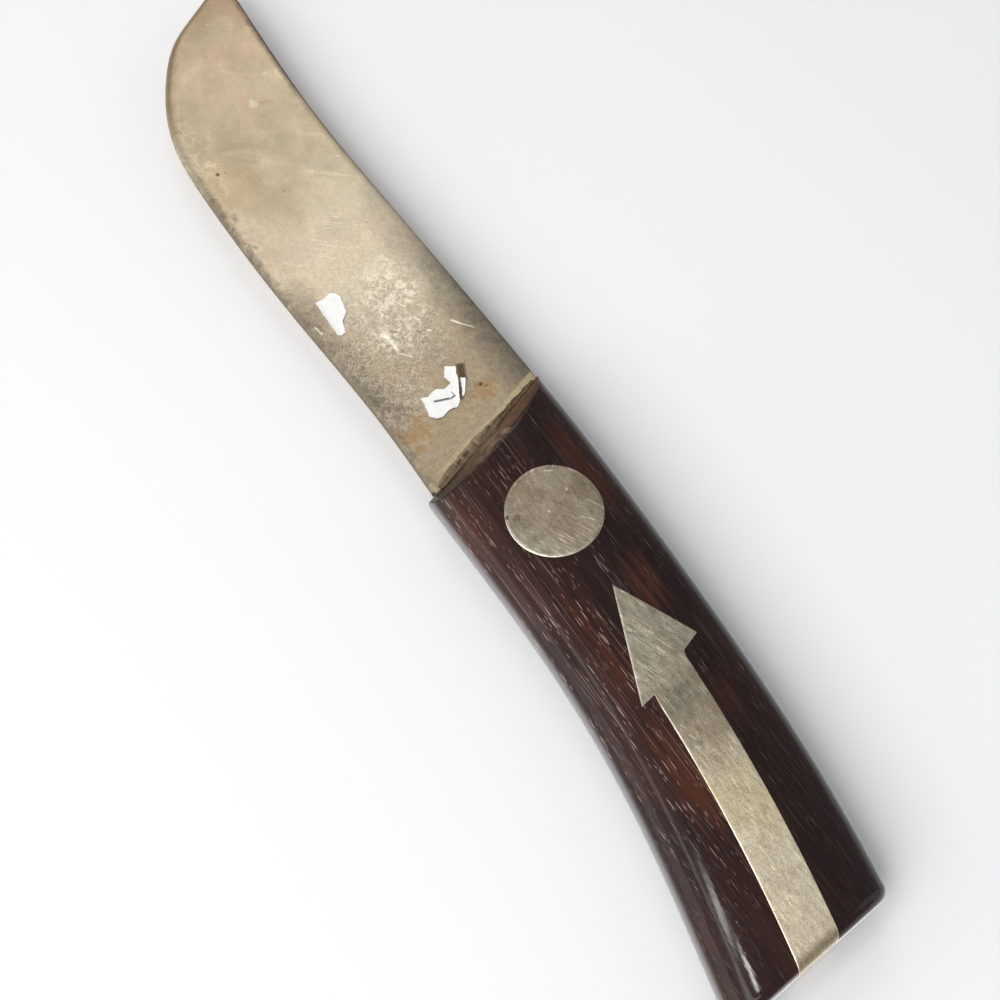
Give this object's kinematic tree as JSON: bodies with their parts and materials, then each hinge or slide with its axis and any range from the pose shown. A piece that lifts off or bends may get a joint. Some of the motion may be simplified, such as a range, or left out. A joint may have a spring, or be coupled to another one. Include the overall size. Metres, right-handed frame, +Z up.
{
  "type": "fixed-blade knife",
  "caption": "Fixed-blade knife with a broad drop of belly, a crowned hardwood handle, and a flush disc and curved arrow inlaid in the handle's faces.",
  "frame": {"origin": "middle of the overall box, on its underside", "axes": "+X along the knife to the blade's point, +Y to the cutting-edge side, +Z up out of the front face; the knife lies flat on its back face"},
  "size_m": [0.2136, 0.0348, 0.013],
  "materials": {
    "blade_metal": "tarnished satin, warm grey-tan, with fine scratches and stains",
    "rosewood": "dark red-brown hardwood with open pores under a high polish",
    "inlay_metal": "tarnished satin with diagonal scratches",
    "pin_brass": "plain turned",
    "cement": "aged amber-brown cement",
    "label_paper": "matt torn paper"
  },
  "bodies": {
    "root": {"blade": "blade_metal", "front_scale": "rosewood", "back_scale": "rosewood", "front_disc": "inlay_metal", "back_disc": "inlay_metal", "front_arrow": "inlay_metal", "back_arrow": "inlay_metal", "front_disc_pegs": "inlay_metal", "back_disc_pegs": "inlay_metal", "front_arrow_pegs": "inlay_metal", "back_arrow_pegs": "inlay_metal", "tang_pin_front": "pin_brass", "tang_pin_middle": "pin_brass", "tang_pin_rear": "pin_brass", "tang_bedding": "cement", "front_mouth_cement": "cement", "back_mouth_cement": "cement", "label_scrap_upper": "label_paper", "label_scrap_lower": "label_paper"}
  },
  "joints": []
}
